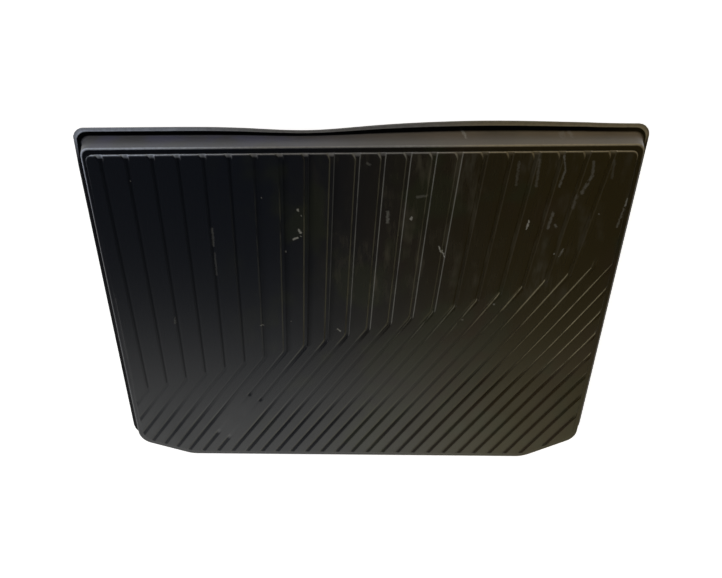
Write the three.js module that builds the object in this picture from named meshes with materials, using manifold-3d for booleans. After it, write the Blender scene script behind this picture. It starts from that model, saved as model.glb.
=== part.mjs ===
// Car boot liner: one moulded rubber tray, lying face down on its rim with its underside up.
// Millimetres and degrees, +Z up. +Y points to the rear seats, -Y to the tailgate.
import * as THREE from "three";
import { mergeVertices } from "three/addons/utils/BufferGeometryUtils.js";
import Module from "manifold-3d";

// Plan of the raised floor panel, as seen on the underside
const seatWidth = 987;
const panelLength = 741;
const leftSplay = 2.2;
const tailgateSkew = 1.6;
const leftCutRise = 39;
const leftCutRun = 110;
const rightCutRise = 59;
const rightCutRun = 111;

// Corner radii of the panel, and how much they grow for each millimetre further out
const seatCornerRadius = 11;
const sideCornerRadius = 32;
const tailgateCornerRadius = 70;
const radiusGrowth = 0.35;

// Section through the wall
const trayHeight = 46;
const sheet = 3;
const panelRise = 3;
const panelEdgeRound = 0.8;
const ledgeWidth = 11;
const ledgeRound = 3;
const wallDraft = 15;
const flangeThickness = 4.6;
const flangeFall = 0.6;
const flangeFillet = 3;
const lipRound = 3;

// Reach of the lip beyond the panel edge on each side
const seatReach = 37;
const leftReach = 37;
const tailgateReach = 36;
const rightReach = 32.5;

// The free rim on the seat side has sagged inwards at one place and outwards at another
const sagDepth = 8;
const sagPlace = -103;
const sagSpread = 110;
const bulgeDepth = 7;
const bulgePlace = 221;
const bulgeSpread = 190;

// Pressed grooves: upright ones from the seat edge, bending into slanted ones
const grooveWidth = 8;
const grooveDepth = 1.6;
const ribHeight = 1.4;
const uprightGrooves = 21;
const slantedGrooves = 30;
const pitchAtSeat = 46;
const pitchAtBend = 44.65;
const patternShift = -8.5;
const bendShift = -27;
const bendLineSlope = 0.3165;
const bendLineDrop = 386.75;
const slantAngleLeft = 52;
const slantAngleRight = 57.3;

// Bare patch that interrupts the slanted grooves
const patchLength = 140;
const patchWidth = 56;
const patchFromLeft = 204;
const patchFromSeat = 616;
const patchTurn = 54;

// Number of steps along curves
const cornerSteps = 5;
const seatEdgeSteps = 18;
const arcSteps = 3;

const SIDES = ["seat", "left", "left cut", "tailgate", "right cut", "right"];
const REACH = {
  "seat": seatReach, "left": leftReach, "left cut": tailgateReach,
  "tailgate": tailgateReach, "right cut": tailgateReach, "right": rightReach,
};
const tangent = (degrees) => Math.tan(THREE.MathUtils.degToRad(degrees));
const vec = (x, y) => new THREE.Vector2(x, y);

// Corners of the panel edge, counter-clockwise from the seat side's right end
function panelCorners() {
  const half = seatWidth / 2;
  const tailgateY = (x) => -panelLength - x * tangent(tailgateSkew);
  const leftX = -half - panelLength * tangent(leftSplay);
  const leftCutTop = tailgateY(leftX) + leftCutRise;
  const rightCutTop = tailgateY(half) + rightCutRise;
  return [
    vec(half, 0),
    vec(-half, 0),
    vec(-half + leftCutTop * tangent(leftSplay), leftCutTop),
    vec(leftX + leftCutRun, tailgateY(leftX + leftCutRun)),
    vec(half - rightCutRun, tailgateY(half - rightCutRun)),
    vec(half, rightCutTop),
  ];
}

const CORNER_RADII = [
  seatCornerRadius, seatCornerRadius, sideCornerRadius,
  tailgateCornerRadius, tailgateCornerRadius, sideCornerRadius,
];

// Moves each side of a polygon outwards by its own distance and returns the new corners
function offsetCorners(corners, distances) {
  const lines = corners.map((from, i) => {
    const along = corners[(i + 1) % corners.length].clone().sub(from).normalize();
    const out = vec(along.y, -along.x);
    return { point: from.clone().addScaledVector(out, distances[i]), along };
  });
  return lines.map((line, i) => {
    const before = lines[(i + lines.length - 1) % lines.length];
    const gap = line.point.clone().sub(before.point);
    const reach = gap.cross(line.along) / before.along.cross(line.along);
    return before.point.clone().addScaledVector(before.along, reach);
  });
}

// Rounds one corner with an arc and returns its points
function roundCorner(before, corner, after, radius) {
  const toBefore = before.clone().sub(corner).normalize();
  const toAfter = after.clone().sub(corner).normalize();
  const halfAngle = Math.acos(THREE.MathUtils.clamp(toBefore.dot(toAfter), -1, 1)) / 2;
  const middle = toBefore.clone().add(toAfter).normalize();
  const centre = corner.clone().addScaledVector(middle, radius / Math.sin(halfAngle));
  const start = corner.clone().addScaledVector(toBefore, radius / Math.tan(halfAngle));
  const sweep = Math.PI - 2 * halfAngle;
  const points = [];
  for (let k = 0; k <= cornerSteps; k++) {
    points.push(start.clone().rotateAround(centre, (sweep * k) / cornerSteps));
  }
  return points;
}

// How far the free rim on the seat side stands out of its straight line
function rimWave(x) {
  const sag = sagDepth * Math.exp(-(((x - sagPlace) / sagSpread) ** 2));
  const bulge = bulgeDepth * Math.exp(-(((x - bulgePlace) / bulgeSpread) ** 2));
  return bulge - sag;
}

// One closed loop of the plan, a given distance outside the panel edge
function planLoop(out, lipShare) {
  const distances = SIDES.map((side) => out + lipShare * (REACH[side] - seatReach));
  const corners = offsetCorners(panelCorners(), distances);
  const count = corners.length;
  const loop = [];
  corners.forEach((corner, i) => {
    const before = corners[(i + count - 1) % count];
    const after = corners[(i + 1) % count];
    loop.push(...roundCorner(before, corner, after, CORNER_RADII[i] + radiusGrowth * out));
    if (SIDES[i] !== "seat") return;
    const start = loop[loop.length - 1];
    const end = roundCorner(corner, after, corners[(i + 2) % count],
      CORNER_RADII[i + 1] + radiusGrowth * out)[0];
    const free = Math.max(0, (out - ledgeWidth) / (seatReach - ledgeWidth));
    for (let k = 1; k < seatEdgeSteps; k++) {
      const point = start.clone().lerp(end, k / seatEdgeSteps);
      point.y += free * rimWave(point.x);
      loop.push(point);
    }
  });
  return loop;
}

// Points of a rounded corner in the wall's section; each is [outwards, height, share of the lip]
function roundSection(from, corner, to) {
  const curve = new THREE.QuadraticBezierCurve3(
    new THREE.Vector3(...from), new THREE.Vector3(...corner), new THREE.Vector3(...to));
  return curve.getPoints(arcSteps).map((p) => [p.x, p.y, p.z]);
}

// Section of the sheet from the panel edge, over the outside to the lip, and back along the inside
function wallSection() {
  const ledgeTop = trayHeight - panelRise;
  const slope = tangent(wallDraft);
  const outerAt = (z) => ledgeWidth + (ledgeTop - z) * slope;
  const innerAt = (z) => outerAt(z) - sheet * Math.hypot(1, slope);
  const lipTop = flangeThickness - flangeFall;
  const innerFloor = ledgeTop - sheet;
  const wallFoot = outerAt(flangeThickness);
  const insideFoot = innerAt(0);
  return [
    [-panelEdgeRound, trayHeight, 0],
    [0, trayHeight - panelEdgeRound, 0],
    [panelEdgeRound / 2, ledgeTop, 0],
    ...roundSection(
      [ledgeWidth - ledgeRound, ledgeTop, 0],
      [ledgeWidth, ledgeTop, 0],
      [outerAt(ledgeTop - ledgeRound), ledgeTop - ledgeRound, 0]),
    ...roundSection(
      [outerAt(flangeThickness + flangeFillet), flangeThickness + flangeFillet, 0],
      [wallFoot, flangeThickness, 0],
      [wallFoot + flangeFillet, flangeThickness, 0]),
    ...roundSection(
      [seatReach - lipRound, lipTop, 1], [seatReach, lipTop, 1], [seatReach, lipTop - lipRound, 1]),
    [seatReach - flangeFall, 0, 1],
    ...roundSection(
      [insideFoot + flangeFillet, 0, 0],
      [insideFoot, 0, 0],
      [innerAt(flangeFillet), flangeFillet, 0]),
    ...roundSection(
      [innerAt(innerFloor - ledgeRound), innerFloor - ledgeRound, 0],
      [innerAt(innerFloor), innerFloor, 0],
      [innerAt(innerFloor) - ledgeRound, innerFloor, 0]),
    [-sheet / 2, innerFloor, 0],
    [-sheet, trayHeight - sheet, 0],
  ];
}

// Closed mesh of the whole tray without its grooves
function trayGeometry() {
  const section = wallSection();
  const loops = section.map(([out, , lipShare]) => planLoop(out, lipShare));
  const perLoop = loops[0].length;
  const positions = [];
  loops.forEach((loop, s) => loop.forEach((p) => positions.push(p.x, p.y, section[s][1])));
  const index = [];
  for (let s = 0; s + 1 < loops.length; s++) {
    for (let i = 0; i < perLoop; i++) {
      const next = (i + 1) % perLoop;
      const [a, b] = [s * perLoop + i, s * perLoop + next];
      const [c, d] = [a + perLoop, b + perLoop];
      index.push(a, c, b, b, c, d);
    }
  }
  const last = (loops.length - 1) * perLoop;
  for (const [a, b, c] of THREE.ShapeUtils.triangulateShape(loops[0], [])) {
    index.push(a, b, c);
  }
  for (const [a, b, c] of THREE.ShapeUtils.triangulateShape(loops[loops.length - 1], [])) {
    index.push(last + a, last + c, last + b);
  }
  const geometry = new THREE.BufferGeometry();
  geometry.setAttribute("position", new THREE.Float32BufferAttribute(positions, 3));
  geometry.setIndex(index);
  return geometry;
}

// Centre line of one groove, running past the panel edge at both ends
function groovePath(i) {
  const middle = (uprightGrooves - 1) / 2;
  const bendX = (i - middle) * pitchAtBend + bendShift + patternShift;
  const bendY = (bendX - patternShift) * bendLineSlope - bendLineDrop;
  const share = i / (slantedGrooves - 1);
  const angle = slantAngleLeft + (slantAngleRight - slantAngleLeft) * share;
  const endY = -panelLength - seatReach - ledgeWidth;
  const path = [vec(bendX + (endY - bendY) / tangent(angle), endY), vec(bendX, bendY)];
  if (i < uprightGrooves) path.push(vec((i - middle) * pitchAtSeat + patternShift, ledgeWidth));
  return path;
}

// Outline of a band of constant width along a path with at most one bend
function bandOutline(path, width) {
  const side = (sign) => path.map((point, k) => {
    const first = path[Math.max(0, k - 1)];
    const second = path[Math.min(path.length - 1, k + 1)];
    const before = point.clone().sub(first).normalize();
    const after = second.clone().sub(point).normalize();
    const along = before.clone().add(after).normalize();
    const squeeze = k === 0 || k === path.length - 1 ? 1 : along.dot(before);
    return vec(-along.y, along.x).multiplyScalar((sign * width) / 2 / squeeze).add(point);
  });
  return [...side(-1), ...side(1).reverse()];
}

// Upright prism over a plan outline, between two heights
function prism(outline, low, high) {
  const shape = new THREE.Shape(outline);
  const geometry = new THREE.ExtrudeGeometry(shape, { depth: high - low, bevelEnabled: false });
  return geometry.translate(0, 0, low);
}

const wasm = await Module();
wasm.setup();

function toSolid(geometry) {
  const bare = geometry.clone();
  bare.deleteAttribute("normal");
  bare.deleteAttribute("uv");
  const merged = mergeVertices(bare, 1e-4);
  const vertProperties = new Float32Array(merged.attributes.position.array);
  const triVerts = new Uint32Array(merged.index.array);
  return new wasm.Manifold(new wasm.Mesh({ numProp: 3, vertProperties, triVerts }));
}

function toGeometry(solid) {
  const mesh = solid.getMesh();
  const geometry = new THREE.BufferGeometry();
  geometry.setAttribute("position", new THREE.Float32BufferAttribute(mesh.vertProperties, 3));
  geometry.setIndex([...mesh.triVerts]);
  return geometry;
}

// All grooves as one solid between two heights, kept inside the panel and off the bare patch
function grooveSolid(width, low, high, margin) {
  const bands = [];
  for (let i = 0; i < slantedGrooves; i++) {
    bands.push(toSolid(prism(bandOutline(groovePath(i), width), low, high)));
  }
  const panel = toSolid(prism(planLoop(margin, 0), low - 1, high + 1));
  const turn = THREE.MathUtils.degToRad(patchTurn);
  const centre = vec(patchFromLeft - seatWidth / 2, -patchFromSeat);
  const patch = [[-1, -1], [1, -1], [1, 1], [-1, 1]].map(([a, b]) =>
    vec((a * patchLength) / 2, (b * patchWidth) / 2).rotateAround(vec(0, 0), turn).add(centre));
  const all = bands.reduce((sum, band) => sum.add(band));
  return all.intersect(panel).subtract(toSolid(prism(patch, low - 1, high + 1)));
}

function bootLiner() {
  const innerFace = trayHeight - sheet;
  const grooves = grooveSolid(grooveWidth, trayHeight - grooveDepth, trayHeight + 1, panelEdgeRound);
  const ribs = grooveSolid(grooveWidth, innerFace - ribHeight, innerFace + sheet / 4, 0);
  const solid = toSolid(trayGeometry()).add(ribs).subtract(grooves);
  const geometry = toGeometry(solid);
  geometry.computeBoundingBox();
  const middle = geometry.boundingBox.getCenter(new THREE.Vector3());
  geometry.translate(-middle.x, -middle.y, 0);
  const rubber = new THREE.MeshStandardMaterial({
    name: "black_rubber", color: 0x1a1a1b, roughness: 0.6, metalness: 0,
  });
  const mesh = new THREE.Mesh(geometry, rubber);
  mesh.name = "boot_liner";
  return mesh;
}

const part = new THREE.Group();
part.add(bootLiner());

export default part;
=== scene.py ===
"""Moulded rubber car boot liner, lying face down so that its grooved underside shows.

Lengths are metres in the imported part's frame: +X to the liner's right, +Y to the rear seats,
+Z up, with the rim at z = 0. The liner is one closed surface worked out with numpy.
"""

import math

import bpy
import numpy as np
from bpy.props import FloatProperty, FloatVectorProperty, IntProperty, PointerProperty
from bpy.types import Operator, Panel, PropertyGroup
from mathutils import Matrix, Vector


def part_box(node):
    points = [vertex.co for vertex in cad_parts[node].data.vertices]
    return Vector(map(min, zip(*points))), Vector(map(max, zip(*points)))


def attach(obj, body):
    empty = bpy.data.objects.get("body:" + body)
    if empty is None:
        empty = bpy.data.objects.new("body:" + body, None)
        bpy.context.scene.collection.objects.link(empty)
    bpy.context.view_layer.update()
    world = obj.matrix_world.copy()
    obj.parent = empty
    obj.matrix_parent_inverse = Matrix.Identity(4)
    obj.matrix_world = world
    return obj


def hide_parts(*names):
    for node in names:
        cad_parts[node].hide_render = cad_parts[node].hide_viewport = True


bl_info = {
    "name": "Car boot liner",
    "version": (1, 0, 0),
    "blender": (4, 5, 0),
    "location": "3D View > Sidebar > Boot liner",
    "description": "Builds a moulded rubber boot liner around its packed solid",
    "category": "Object",
}

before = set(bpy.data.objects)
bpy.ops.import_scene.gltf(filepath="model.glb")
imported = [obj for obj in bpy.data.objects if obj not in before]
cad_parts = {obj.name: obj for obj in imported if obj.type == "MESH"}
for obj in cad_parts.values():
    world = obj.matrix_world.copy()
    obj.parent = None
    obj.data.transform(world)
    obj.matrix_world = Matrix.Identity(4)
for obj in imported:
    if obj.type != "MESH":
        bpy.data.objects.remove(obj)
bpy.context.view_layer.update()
BOX_LOW, BOX_HIGH = (np.array(corner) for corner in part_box("boot_liner"))
MM = 0.001
SIDE_COUNT = 6
LOOP_POINTS = 2400
EVEN_STEPS = 12
BEND_POINTS = 5
NICK_UNIT = 1 / MM
# Marks on the vertices. Besides wear, dust and film they hold painted light: highlights on worn
# edges and along the groove walls, painted light on the wall, and painted shade in hollow corners
# and along the grooves.
MARKS = ("wear_and_highlight", "film_and_light", "shade", "dust_and_highlight", "groove_shade", "groove", "level")


def length(name, millimetres, text):
    return FloatProperty(name=name, description=text, default=millimetres * MM, unit="LENGTH",
                         subtype="DISTANCE", precision=4)


def angle(name, degrees, text):
    return FloatProperty(name=name, description=text, default=math.radians(degrees),
                         unit="ROTATION", subtype="ANGLE")


def plain(name, value, text, low=0.0, high=100.0):
    return FloatProperty(name=name, description=text, default=value, min=low, max=high)


def colour(name, value, text):
    return FloatVectorProperty(name=name, description=text, default=value, size=3, min=0.0,
                               max=2.0, subtype="COLOR")


class LinerPlanSizes(PropertyGroup):
    seat_width: length("Seat width", 987, "Width of the raised floor at its seat side")
    panel_length: length("Floor length", 741, "Length of the raised floor")
    left_splay: angle("Left splay", 2.2, "Turn of the left side away from straight")
    tailgate_skew: angle("Tailgate skew", 1.6, "Turn of the tailgate side")
    left_cut_rise: length("Left cut rise", 39, "Height of the cut corner at the left")
    left_cut_run: length("Left cut run", 110, "Width of the cut corner at the left")
    right_cut_rise: length("Right cut rise", 59, "Height of the cut corner at the right")
    right_cut_run: length("Right cut run", 111, "Width of the cut corner at the right")
    seat_corner: length("Seat corner", 11, "Radius of the corners at the seat side")
    side_corner: length("Side corner", 32, "Radius where a side meets a cut corner")
    tailgate_corner: length("Tailgate corner", 70, "Radius where the tailgate side starts")
    corner_growth: plain("Corner growth", 0.35, "Radius gained for each unit further out")
    seat_reach: length("Seat reach", 37, "Lip beyond the floor at the seat side")
    left_reach: length("Left reach", 37, "Lip beyond the floor at the left")
    tailgate_reach: length("Tailgate reach", 36, "Lip beyond the floor at the tailgate")
    right_reach: length("Right reach", 32.5, "Lip beyond the floor at the right")
    sag_depth: length("Sag depth", 8, "How far the seat side's rim has sagged in")
    sag_place: length("Sag place", -103, "Where the rim sags")
    sag_spread: length("Sag spread", 110, "Width of the sag")
    bulge_depth: length("Bulge depth", 7, "How far the seat side's rim stands out")
    bulge_place: length("Bulge place", 221, "Where the rim stands out")
    bulge_spread: length("Bulge spread", 190, "Width of the bulge")


class LinerSectionSizes(PropertyGroup):
    height: FloatProperty(name="Height", description="Height of the tray, as the packed solid's",
                          default=float(BOX_HIGH[2]), unit="LENGTH", subtype="DISTANCE")
    sheet: length("Sheet", 3, "Thickness of the rubber")
    panel_rise: length("Floor rise", 3, "Rise of the grooved floor above its ledge")
    panel_edge_round: length("Floor edge round", 1.5, "Rounding of the floor's edge")
    ledge_width: length("Ledge width", 11, "Ledge between the floor and the wall")
    ledge_round: length("Ledge round", 3, "Rounding between ledge and wall")
    wall_draft: angle("Wall draft", 15, "Slope of the wall away from upright")
    flange_thickness: length("Flange thickness", 4.6, "Thickness of the flange at the wall")
    flange_fall: length("Flange fall", 0.6, "How much thinner the flange is at the lip")
    flange_fillet: length("Flange fillet", 3, "Fillet between wall and flange")
    lip_round: length("Lip round", 3, "Depth of the lip's rounding")
    lip_run: length("Lip run", 5.5, "Width of the lip's rounding")


class LinerGrooveSizes(PropertyGroup):
    width: length("Groove width", 8, "Width of a groove")
    depth: length("Groove depth", 1.6, "Depth of a groove")
    wall_run: length("Groove wall run", 1.8, "Width of a groove's sloping wall")
    rib_height: length("Rib height", 1.4, "Height of the rib on the groove's other face")
    uprights: IntProperty(name="Upright grooves", default=21, min=2,
                          description="Grooves that start at the seat side")
    slanted: IntProperty(name="Slanted grooves", default=30, min=3, description="Grooves in all")
    pitch_at_seat: length("Pitch at seat side", 46, "Spacing at the seat side")
    pitch_at_bend: length("Pitch at bends", 44.65, "Spacing of the bends across the floor")
    shift: length("Pattern shift", -8.5, "Sideways place of the whole pattern")
    bend_shift: length("Bend shift", -27, "Sideways place of the bends")
    bend_slope: plain("Bend line slope", 0.3165, "Rise of the line of bends to the right")
    bend_drop: length("Bend line drop", 386.75, "Depth of the line of bends")
    slant_left: angle("Slant at left", 52, "Angle of the first slanted groove")
    slant_right: angle("Slant at right", 57.3, "Angle of the last slanted groove")
    bend_round: length("Bend round", 7, "Rounding of the bends")
    mouth_left: plain("Mouth at left", 1.3, "Widening to the left at a mouth, per half width")
    mouth_right: plain("Mouth at right", 0.15, "Widening to the right, per half width")
    mouth_length: length("Mouth length", 12, "How far the widening reaches")
    mouth_scoop: length("Mouth scoop", 1.1, "Extra depth of a groove at the seat edge")
    patch_length: length("Bare patch length", 140, "Length of the patch without grooves")
    patch_width: length("Bare patch width", 56, "Width of the patch without grooves")
    patch_from_left: length("Bare patch from left", 204, "Place of the patch across")
    patch_from_seat: length("Bare patch from seat side", 616, "Place of the patch along")
    patch_turn: angle("Bare patch turn", 54, "Turn of the patch")


class LinerLook(PropertyGroup):
    black: colour("Black", (0.0041, 0.0053, 0.0096), "Clean rubber")
    soil: colour("Soil", (0.0245, 0.0165, 0.0022), "Brown film of dirt at the right")
    tint: colour("Tint", (0.028, 0.013, 0.008), "Reddish patches in the film")
    olive: colour("Olive", (0.019, 0.022, 0.008), "Greenish patches in the film")
    haze: colour("Haze", (0.052, 0.045, 0.031), "Pale film in patches")
    # Pale lines along the groove walls, colours of dust and of a painted highlight together
    dust_and_highlight: colour("Dust", (0.15, 0.145, 0.115), "Pale dust along the grooves")
    dust_and_highlight_right: colour("Dust at right", (0.40, 0.35, 0.23), "Tan dust, right grooves")
    # Colours of the painted shade in hollow corners and along the groove walls
    painted_shade: colour("Hollow", (0.0015, 0.0016, 0.002), "Dark corners and grimy groove walls")
    painted_shade_right: colour("Hollow at right", (0.016, 0.012, 0.005), "Dark corners at the right")
    # Colours of worn edges that also carry a painted highlight, bluish at the left and cream at
    # the right
    wear_and_highlight_left: colour("Wear at left", (0.62, 0.68, 0.85), "Worn edges at the left")
    wear_and_highlight_middle: colour("Wear in the middle", (0.27, 0.26, 0.26), "Worn edges in the middle")
    wear_and_highlight_right: colour("Wear at right", (0.36, 0.29, 0.18), "Worn edges at the right")
    # Colours of the dust film on the wall with painted light in it, cool at the left and warm at
    # the right
    lit_wall_left: colour("Wall at left", (0.031, 0.031, 0.040), "Dusty wall at the left")
    lit_wall_right: colour("Wall at right", (0.098, 0.068, 0.036), "Dusty wall at the right")
    bloom: colour("Bloom", (0.034, 0.034, 0.078), "Bluish bloom on the wall at the left")
    chip: colour("Chip", (0.42, 0.41, 0.38), "Small pale nicks")
    roughness: plain("Roughness", 0.225, "Roughness of clean rubber", 0.0, 1.0)


class LinerStage(PropertyGroup):
    floor: colour("Floor", (0.85, 0.85, 0.85), "Colour of the floor")
    sky_low: colour("Low sky", (1.43, 1.43, 1.39), "Light from the lower sky, front and back")
    sky_low_right: colour("Low sky, right", (0.77, 0.71, 0.61), "The same, right of the middle")
    sky_warmth: colour("Sky warmth", (1.0, 0.97, 0.68), "Tint of the lower sky at the right")
    sky_left: colour("Left sky", (0.90, 0.90, 0.93), "Light from the left side")
    sky_right: colour("Right sky", (0.12, 0.10, 0.07), "Light from the right side")
    sky_high: colour("High sky", (0.035, 0.04, 0.05), "Light from overhead")


# Plan of the liner


def panel_corners(plan):
    """Six corners of the grooved floor, counter-clockwise from the seat side's right end."""
    half = plan.seat_width / 2
    splay = math.tan(plan.left_splay)
    skew = math.tan(plan.tailgate_skew)
    left_x = -half - plan.panel_length * splay

    def tailgate(x):
        return -plan.panel_length - x * skew

    left_top = tailgate(left_x) + plan.left_cut_rise
    left_in = left_x + plan.left_cut_run
    right_in = half - plan.right_cut_run
    return np.array([
        (half, 0.0), (-half, 0.0), (-half + left_top * splay, left_top),
        (left_in, tailgate(left_in)), (right_in, tailgate(right_in)),
        (half, tailgate(half) + plan.right_cut_rise)])


def unit(vectors):
    return vectors / np.linalg.norm(vectors, axis=-1, keepdims=True)


def cross(a, b):
    return a[..., 0] * b[..., 1] - a[..., 1] * b[..., 0]


def edge_points(plan, section, turn, out, lip_share):
    """Points on the plan's edge, a distance out of the floor's edge.

    The turn runs from 0 to 6: its whole part names a corner, the first half of the rest runs
    round that corner's arc, and the second half along the side that follows. Each side moves
    out by its own reach, and a corner's radius is its own plus the growth times the distance.
    """
    corners = panel_corners(plan)
    reach = np.array([plan.seat_reach, plan.left_reach, plan.tailgate_reach,
                      plan.tailgate_reach, plan.tailgate_reach, plan.right_reach])
    moves = out + lip_share * (reach - plan.seat_reach)
    along = unit(np.roll(corners, -1, axis=0) - corners)
    base = corners + moves[:, None] * np.stack([along[:, 1], -along[:, 0]], axis=1)
    before, before_base = np.roll(along, 1, axis=0), np.roll(base, 1, axis=0)
    share = cross(base - before_base, along) / cross(before, along)
    sharp = before_base + share[:, None] * before
    radius = plan.corner_growth * out + np.array([
        plan.seat_corner, plan.seat_corner, plan.side_corner,
        plan.tailgate_corner, plan.tailgate_corner, plan.side_corner])
    half_angle = np.arccos(np.clip(-(before * along).sum(1), -1, 1)) / 2
    centre = sharp + (radius / np.sin(half_angle))[:, None] * unit(along - before)
    start = sharp - (radius / np.tan(half_angle))[:, None] * before
    end = sharp + (radius / np.tan(half_angle))[:, None] * along

    corner = np.floor(turn).astype(int) % SIDE_COUNT
    part = (turn % 1.0) * 2
    spin = (np.pi - 2 * half_angle[corner]) * np.clip(part, 0, 1)
    arm = start[corner] - centre[corner]
    arc = centre[corner] + np.stack([
        arm[:, 0] * np.cos(spin) - arm[:, 1] * np.sin(spin),
        arm[:, 0] * np.sin(spin) + arm[:, 1] * np.cos(spin)], axis=1)
    fraction = np.clip(part - 1, 0, 1)
    side = end[corner] + fraction[:, None] * (start[(corner + 1) % SIDE_COUNT] - end[corner])
    points = np.where((part < 1)[:, None], arc, side)

    free = max(0.0, (out - section.ledge_width) / (plan.seat_reach - section.ledge_width))
    x = points[:, 0]
    wave = (plan.bulge_depth * np.exp(-(((x - plan.bulge_place) / plan.bulge_spread) ** 2))
            - plan.sag_depth * np.exp(-(((x - plan.sag_place) / plan.sag_spread) ** 2)))
    window = np.clip(12 * fraction * (1 - fraction), 0, 1) * (corner == 0)
    points[:, 1] += free * wave * window
    return points


# Lines that carry the grooves


def groove_lines(grooves, section, index, offset):
    """Top point, bend and slant angle of lines beside the grooves' centre lines.

    A line keeps a constant distance from its groove: its bend lies on the mitre of the two
    parts, and its top point lies on the height of the wall behind the seat side.
    """
    middle = (grooves.uprights - 1) / 2
    bend_x = (index - middle) * grooves.pitch_at_bend + grooves.bend_shift + grooves.shift
    bend_y = (bend_x - grooves.shift) * grooves.bend_slope - grooves.bend_drop
    top_x = (index - middle) * grooves.pitch_at_seat + grooves.shift
    top_y = np.full_like(top_x, section.ledge_width)
    bend = np.stack([bend_x, bend_y], axis=1)
    upright = unit(np.stack([top_x, top_y], axis=1) - bend)
    share = index / (grooves.slanted - 1)
    slant = grooves.slant_left + (grooves.slant_right - grooves.slant_left) * share
    right_of_upright = np.stack([upright[:, 1], -upright[:, 0]], axis=1)
    right_of_slant = np.stack([np.sin(slant), -np.cos(slant)], axis=1)
    facing = 1 + (right_of_upright * right_of_slant).sum(1)
    bend = bend + offset[:, None] * (right_of_upright + right_of_slant) / facing[:, None]
    top = bend + upright * ((section.ledge_width - bend[:, 1]) / upright[:, 1])[:, None]
    return top, bend, slant


def line_family(grooves, section):
    """All lines from left to right: sixteen per groove and some on each land between grooves.

    Returns top points, bends, slant angles, groove numbers, offsets from the groove's centre
    line (nan on a land) and sideways widening at the mouths, one row for each line.
    """
    offsets = np.array([-5.8, -5.1, -4.5, -3.9, -3.2, -2.4, -1.5, -0.5]) / 8 * grooves.width
    offsets = np.concatenate([offsets, -offsets[::-1]])
    hold = offsets[-1]
    # Lines across a land, as shares of its width: more where a rim runs slantwise over it
    left_edge = [0.21, 0.24, 0.30, 0.37, 0.44, 0.49, 0.54, 0.59, 0.65, 0.71, 0.76, 0.88]
    land = {-1: np.array(left_edge),
            grooves.uprights - 1: np.linspace(0.08, 0.92, 11),
            grooves.uprights: np.linspace(0.1, 0.9, 8),
            grooves.slanted - 1: np.linspace(0.12, 2.2, 14)}
    rows = []
    for index in range(-1, grooves.slanted):
        if index >= 0:
            numbers = np.full(len(offsets), float(index))
            wide = np.where(offsets < 0, grooves.mouth_left, grooves.mouth_right)
            rows.append((*groove_lines(grooves, section, numbers, offsets), numbers, offsets,
                         offsets * wide * (index < grooves.uprights)))
        shares = land.get(index, np.array([0.33, 0.67]))
        one = np.ones(1)
        ends = [groove_lines(grooves, section, one * (index + k), one * hold * (1 - 2 * k))
                for k in (0, 1)]
        top, bend, slant = (a + (b - a) * (shares[:, None] if a.ndim == 2 else shares)
                            for a, b in zip(*ends))
        fall = np.clip(1 - shares / 0.9, 0, 1) * (index >= 0)
        rise = np.clip((shares - 0.1) / 0.9, 0, 1) * (index < grooves.uprights - 1)
        widening = fall * grooves.mouth_right - rise * grooves.mouth_left
        rows.append((top, bend, slant, index + shares, np.full(len(shares), np.nan),
                     hold * widening * (index < grooves.uprights)))
    return [np.concatenate(parts) for parts in zip(*rows)]


def crossings(base, direction, loop, turn):
    """Where endless lines cross a closed convex loop: nearest and furthest distance and turn."""
    offset = loop[None] - base[:, None]
    side = direction[:, None, 0] * offset[..., 1] - direction[:, None, 1] * offset[..., 0]
    after = np.roll(side, -1, axis=1)
    hit = (side >= 0) != (after >= 0)
    share = np.where(hit, side / np.where(hit, side - after, 1), 0)
    step = np.roll(loop, -1, axis=0) - loop
    place = offset + share[..., None] * step[None]
    distance = (place * direction[:, None]).sum(2)
    rows = np.arange(len(base))
    near = np.where(hit, distance, np.inf).argmin(1)
    far = np.where(hit, distance, -np.inf).argmax(1)
    gap = np.append(np.diff(turn), SIDE_COUNT - turn[-1] + turn[0])
    return [(distance[rows, k], turn[k] + share[rows, k] * gap[k], hit.any(1))
            for k in (near, far)]


def kept_lines(plan, section, grooves):
    """The lines of the family that run at least a little way inside the floor's inner face."""
    turn = np.linspace(0, SIDE_COUNT, LOOP_POINTS, endpoint=False)
    loop = edge_points(plan, section, turn, -section.sheet, 0.0)
    family = line_family(grooves, section)
    down = -np.stack([np.cos(family[2]), np.sin(family[2])], axis=1)
    (enter, _, hits), (leave, _, _) = crossings(family[1], down, loop, turn)
    keep = hits & (leave - np.maximum(enter, 0) > 4 * MM)
    return [rows[keep] for rows in family]


def line_spans(plan, section, lines, inset):
    """How each line crosses the floor, up to an edge that lies a distance inside the floor's.

    Returns its start, whether it has a bend inside, its run above the bend, its whole run, its
    two directions, and the turns of the edge at its start and end.
    """
    turn = np.linspace(0, SIDE_COUNT, LOOP_POINTS, endpoint=False)
    loop = edge_points(plan, section, turn, -inset, 0.0)
    top, bend, slant = lines[:3]
    upright = unit(top - bend)
    down = -np.stack([np.cos(slant), np.sin(slant)], axis=1)
    (enter, enter_turn, _), (leave, leave_turn, _) = crossings(bend, down, loop, turn)
    climb, climb_turn, _ = crossings(bend, upright, loop, turn)[1]
    bent = enter < 0
    start = np.where(bent[:, None], bend + climb[:, None] * upright, bend + enter[:, None] * down)
    upper = np.where(bent, climb, 0.0)
    total = upper + leave - np.where(bent, 0.0, enter)
    start_turn = np.where(bent, climb_turn, enter_turn)
    return start, bent, upper, total, upright, down, start_turn, leave_turn


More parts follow.
